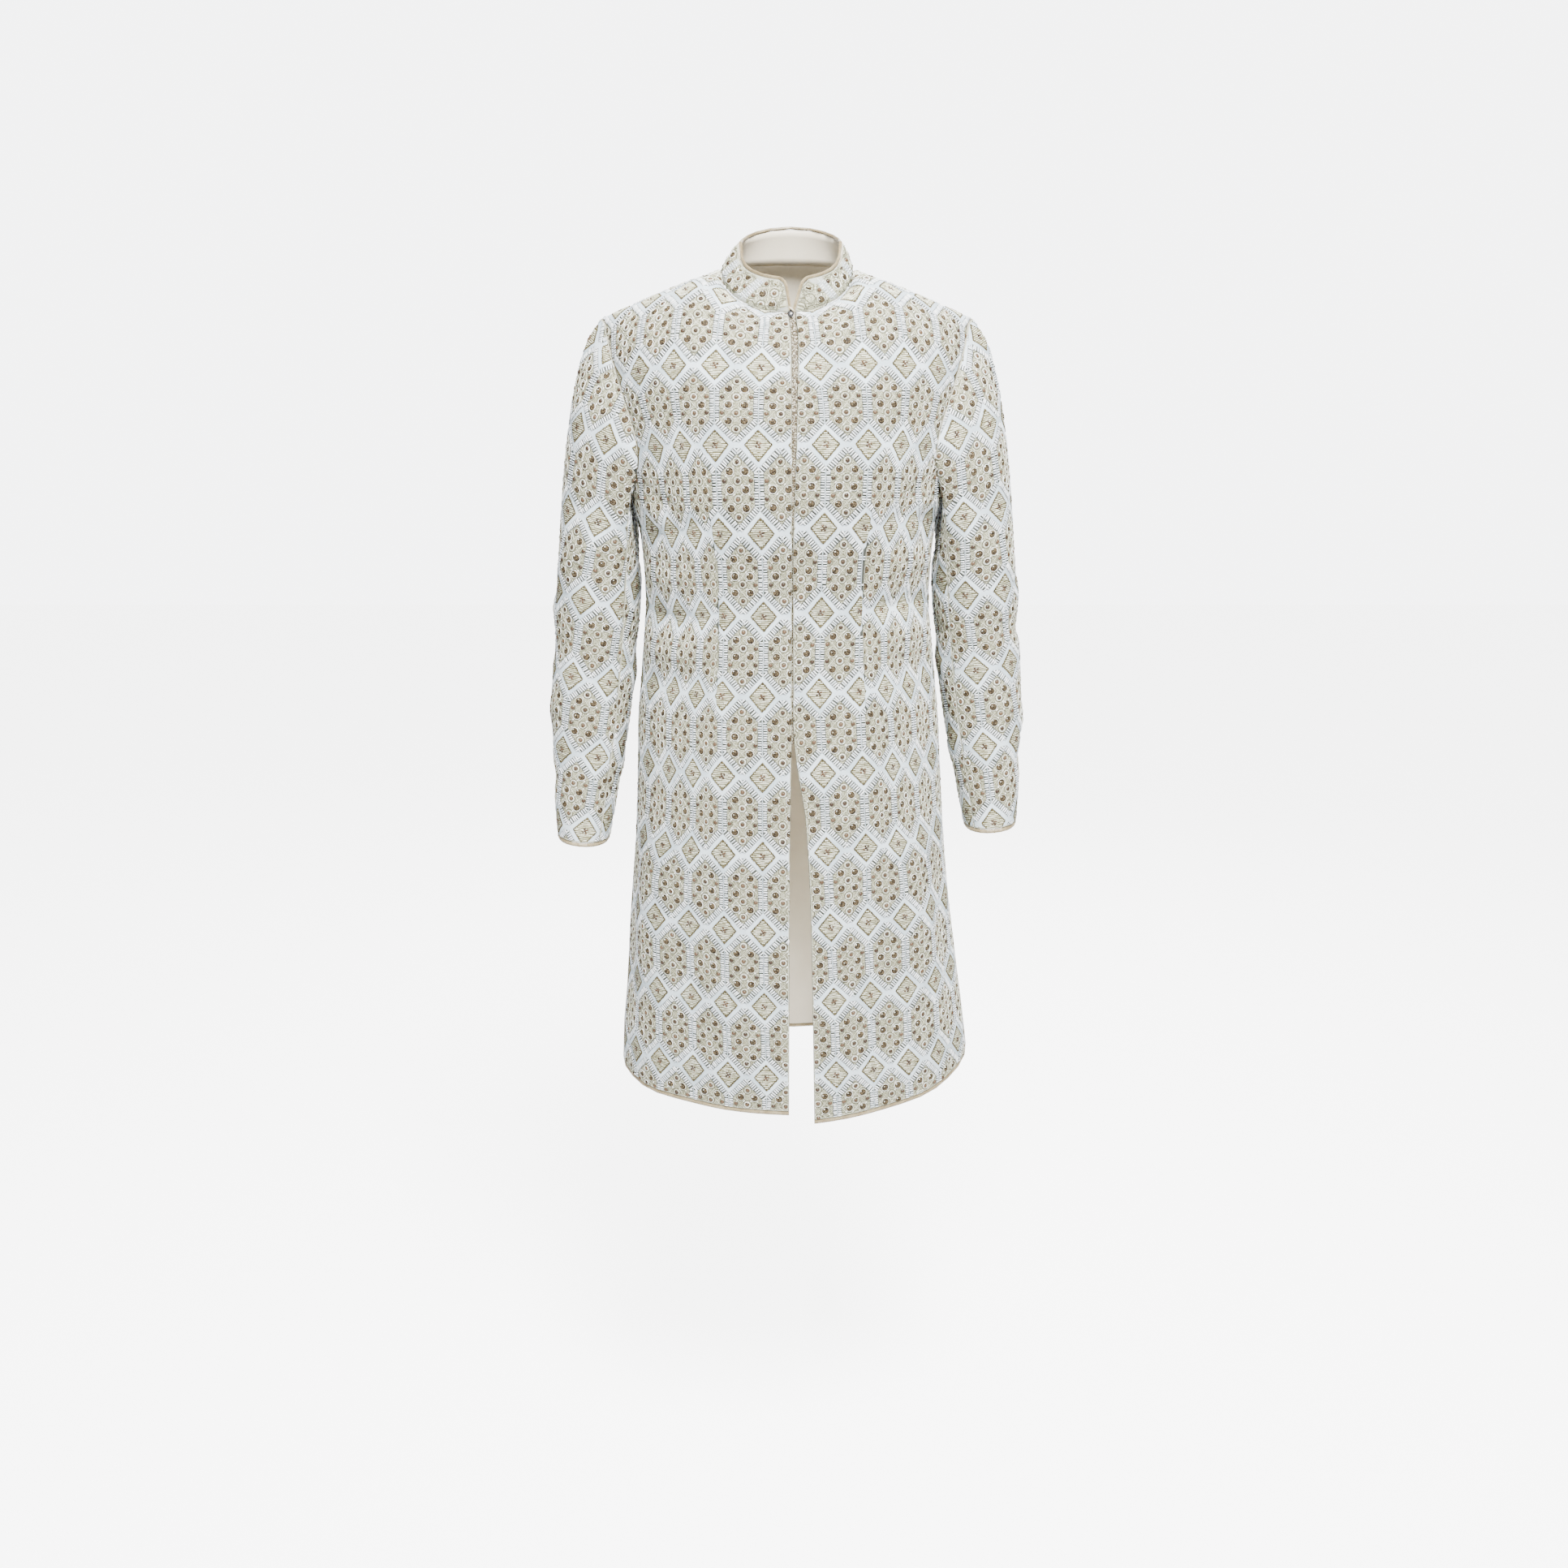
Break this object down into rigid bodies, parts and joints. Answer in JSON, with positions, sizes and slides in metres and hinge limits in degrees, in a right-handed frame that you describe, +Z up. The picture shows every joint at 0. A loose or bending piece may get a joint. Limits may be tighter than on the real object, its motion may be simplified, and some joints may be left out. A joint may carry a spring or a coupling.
{
  "type": "sherwani coat, worn shape with no wearer and no stand",
  "caption": "Knee-length stand-collar sherwani coat, worn and hollow, with a part-open front, side vents, two-piece sleeves and bound hems.",
  "frame": {"origin": "middle of the neck opening at the height of the neck base, where the wearer's neck and shoulders carry the coat", "axes": "+Z up, the front faces -Y, +X towards the wearer's left"},
  "size_m": [0.5568, 0.2627, 1.0226],
  "materials": {
    "embroidered_cloth": "pale blue-white cloth almost covered by cream, tan and silver embroidery",
    "back_cloth": "the same embroidered cloth, on the unseen back",
    "facing_cloth": "plain cream cloth with a slight sheen",
    "binding_cloth": "beige-gold satin piping",
    "dark_metal": "dark enamelled hook and eye"
  },
  "bodies": {
    "root": {"front_right": "embroidered_cloth", "front_left": "embroidered_cloth", "back": "back_cloth", "sleeve_right_top": "embroidered_cloth", "sleeve_right_under": "embroidered_cloth", "sleeve_left_top": "embroidered_cloth", "sleeve_left_under": "embroidered_cloth", "collar": "embroidered_cloth", "collar_facing": "facing_cloth", "front_underlap": "embroidered_cloth", "collar_piping": "binding_cloth", "hem_binding_right": "binding_cloth", "hem_binding_left": "binding_cloth", "hem_binding_back": "binding_cloth", "cuff_binding_right": "binding_cloth", "cuff_binding_left": "binding_cloth", "neck_hook": "dark_metal", "neck_eye": "dark_metal"}
  },
  "joints": []
}
